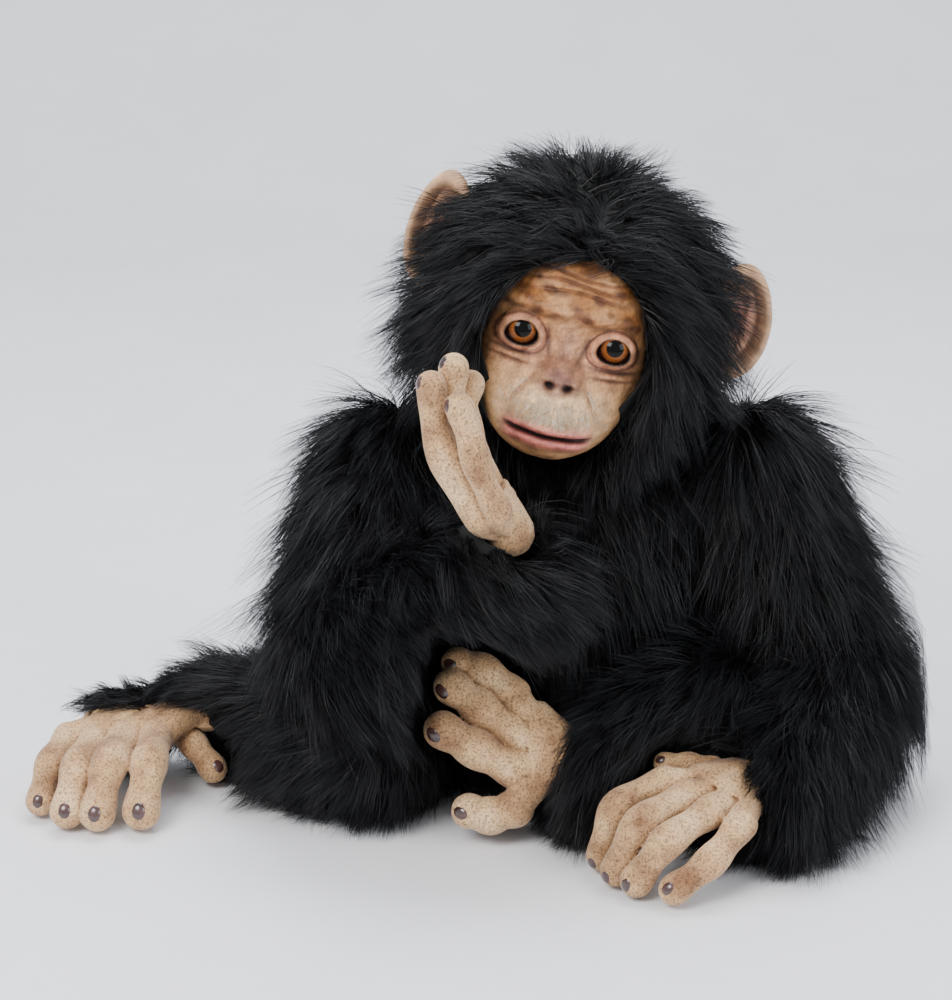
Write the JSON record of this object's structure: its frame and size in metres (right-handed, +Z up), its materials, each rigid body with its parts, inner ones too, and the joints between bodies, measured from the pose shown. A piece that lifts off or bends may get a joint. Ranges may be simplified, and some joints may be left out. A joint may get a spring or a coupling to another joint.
{
  "type": "jointed chimpanzee soft toy",
  "caption": "Seated jointed chimpanzee figure in long black faux fur with a painted face, glass eyes and suede-like hands and feet on disc joints and wire armatures.",
  "frame": {"origin": "middle of the bounding box in plan, on the plane it sits on", "axes": "+Z up; the chest faces -Y; the figure's left side is at +X"},
  "size_m": [0.5021, 0.2998, 0.3688],
  "materials": {
    "fur": "long-pile faux fur",
    "wire": "plain",
    "fibreboard": "matt",
    "steel": "plain",
    "stuffing": "fibre fill",
    "bag": "cotton bag of pellets",
    "face": "painted modelling clay over a stiff base",
    "eye": "polished",
    "ear": "suede-like",
    "skin": "suede-like cloth, painted"
  },
  "bodies": {
    "torso": {"torso_fur_fabric": "fur", "torso_stuffing": "stuffing", "weight_bag": "bag", "shoulder_right_body_disc": "fibreboard", "shoulder_right_lock_nut": "steel", "shoulder_left_body_disc": "fibreboard", "shoulder_left_lock_nut": "steel", "hip_right_body_disc": "fibreboard", "hip_right_lock_nut": "steel", "hip_left_body_disc": "fibreboard", "hip_left_lock_nut": "steel", "neck_body_disc": "fibreboard", "neck_lock_nut": "steel"},
    "neck": {"neck_stub": "fur", "neck_limb_disc": "fibreboard", "neck_bolt": "steel"},
    "head": {"head_core": "stuffing", "head_fur_fabric": "fur", "face_mask": "face", "eye_right": "eye", "eye_left": "eye", "ear_right": "ear", "ear_left": "ear"},
    "upper_arm_right": {"upper_arm_right": "fur", "shoulder_right_limb_disc": "fibreboard", "shoulder_right_bolt": "steel", "upper_arm_wire_right": "wire"},
    "forearm_right": {"forearm_right": "fur", "forearm_wire_right": "wire"},
    "hand_right": {"hand_right": "skin"},
    "fingers_right": {"fingers_right": "skin"},
    "thumb_right": {"thumb_right": "skin"},
    "thigh_right": {"thigh_right": "fur", "hip_right_limb_disc": "fibreboard", "hip_right_bolt": "steel", "thigh_wire_right": "wire"},
    "shin_right": {"shin_right": "fur", "shin_wire_right": "wire"},
    "foot_right": {"foot_right": "skin"},
    "toes_right": {"toes_right": "skin"},
    "big_toe_right": {"big_toe_right": "skin"},
    "upper_arm_left": {"upper_arm_left": "fur", "shoulder_left_limb_disc": "fibreboard", "shoulder_left_bolt": "steel", "upper_arm_wire_left": "wire"},
    "forearm_left": {"forearm_left": "fur", "forearm_wire_left": "wire"},
    "hand_left": {"hand_left": "skin"},
    "fingers_left": {"fingers_left": "skin"},
    "thumb_left": {"thumb_left": "skin"},
    "thigh_left": {"thigh_left": "fur", "hip_left_limb_disc": "fibreboard", "hip_left_bolt": "steel", "thigh_wire_left": "wire"},
    "shin_left": {"shin_left": "fur", "shin_wire_left": "wire"},
    "foot_left": {"foot_left": "skin"},
    "toes_left": {"toes_left": "skin"},
    "big_toe_left": {"big_toe_left": "skin"}
  },
  "joints": [
    {"name": "neck_turn", "type": "hinge", "parent": "torso", "child": "neck", "pos_m": [0.06824, 0.07325, 0.219], "axis": [0, 0, 1], "range_deg": [-30, 30]},
    {"name": "head_nod", "type": "hinge", "parent": "neck", "child": "head", "pos_m": [0.06824, 0.07325, 0.219], "axis": [-1, 0, 0], "range_deg": [-5, 10]},
    {"name": "shoulder_right", "type": "hinge", "parent": "torso", "child": "upper_arm_right", "pos_m": [-0.03476, 0.06524, 0.19], "axis": [-1, 0, 0], "range_deg": [-4, 15]},
    {"name": "elbow_right", "type": "hinge", "parent": "upper_arm_right", "child": "forearm_right", "pos_m": [-0.05976, -0.03875, 0.118], "axis": [0.6544, 0.3177, -0.6862], "range_deg": [0, 30]},
    {"name": "wrist_right", "type": "hinge", "parent": "forearm_right", "child": "hand_right", "pos_m": [0.03224, -0.07276, 0.19], "axis": [0, -1, 0], "range_deg": [-20, 4]},
    {"name": "hip_right", "type": "hinge", "parent": "torso", "child": "thigh_right", "pos_m": [-0.01476, 0.06524, 0.046], "axis": [-1, 0, 0], "range_deg": [-20, 5]},
    {"name": "knee_right", "type": "hinge", "parent": "thigh_right", "child": "shin_right", "pos_m": [-0.05376, -0.02276, 0.056], "axis": [-0.0109, 0.1177, 0.993], "range_deg": [0, 30]},
    {"name": "ankle_right", "type": "hinge", "parent": "shin_right", "child": "foot_right", "pos_m": [-0.13976, 0.04525, 0.047], "axis": [-1, 0, 0], "range_deg": [-20, 20]},
    {"name": "fingers_right", "type": "hinge", "parent": "hand_right", "child": "fingers_right", "pos_m": [0.01824, -0.07225, 0.229], "axis": [0, -1, 0], "range_deg": [-30, 10]},
    {"name": "thumb_right", "type": "hinge", "parent": "hand_right", "child": "thumb_right", "pos_m": [0.02624, -0.04675, 0.204], "axis": [-0.5983, -0.4573, -0.6579], "range_deg": [-10, 15]},
    {"name": "toes_right", "type": "hinge", "parent": "foot_right", "child": "toes_right", "pos_m": [-0.20426, 0.02374, 0.0325], "axis": [-0.994, 0.0938, -0.0563], "range_deg": [-20, 20]},
    {"name": "big_toe_right", "type": "hinge", "parent": "foot_right", "child": "big_toe_right", "pos_m": [-0.16876, 0.04124, 0.03], "axis": [0.2671, -0.4177, 0.8684], "range_deg": [-6, 1]},
    {"name": "shoulder_left", "type": "hinge", "parent": "torso", "child": "upper_arm_left", "pos_m": [0.17324, 0.06524, 0.19], "axis": [-1, 0, 0], "range_deg": [0, 45]},
    {"name": "elbow_left", "type": "hinge", "parent": "upper_arm_left", "child": "forearm_left", "pos_m": [0.22424, 0.02024, 0.072], "axis": [0.685, -0.5312, 0.4986], "range_deg": [0, 40]},
    {"name": "wrist_left", "type": "hinge", "parent": "forearm_left", "child": "hand_left", "pos_m": [0.17624, -0.07075, 0.041], "axis": [-0.7153, 0.6802, 0.1603], "range_deg": [-10, 5]},
    {"name": "hip_left", "type": "hinge", "parent": "torso", "child": "thigh_left", "pos_m": [0.15324, 0.06524, 0.046], "axis": [-1, 0, 0], "range_deg": [-1, 12]},
    {"name": "knee_left", "type": "hinge", "parent": "thigh_left", "child": "shin_left", "pos_m": [0.14424, -0.01476, 0.076], "axis": [-0.4167, 0.3599, 0.8348], "range_deg": [-2, 6]},
    {"name": "ankle_left", "type": "hinge", "parent": "shin_left", "child": "foot_left", "pos_m": [0.06624, -0.04476, 0.05], "axis": [0, 0.5, 0.866], "range_deg": [-5, 5]},
    {"name": "fingers_left", "type": "hinge", "parent": "hand_left", "child": "fingers_left", "pos_m": [0.13824, -0.09376, 0.0415], "axis": [-0.7155, 0.6798, 0.161], "range_deg": [-20, 20]},
    {"name": "thumb_left", "type": "hinge", "parent": "hand_left", "child": "thumb_left", "pos_m": [0.14624, -0.06076, 0.048], "axis": [0.0029, 0.1926, -0.9813], "range_deg": [-2, 5]},
    {"name": "toes_left", "type": "hinge", "parent": "foot_left", "child": "toes_left", "pos_m": [0.03424, -0.04326, 0.0515], "axis": [0, 0.501, 0.8654], "range_deg": [-8, 20]},
    {"name": "big_toe_left", "type": "hinge", "parent": "foot_left", "child": "big_toe_left", "pos_m": [0.04624, -0.01876, 0.058], "axis": [-0.11, 0.3049, -0.946], "range_deg": [-5, 10]}
  ]
}
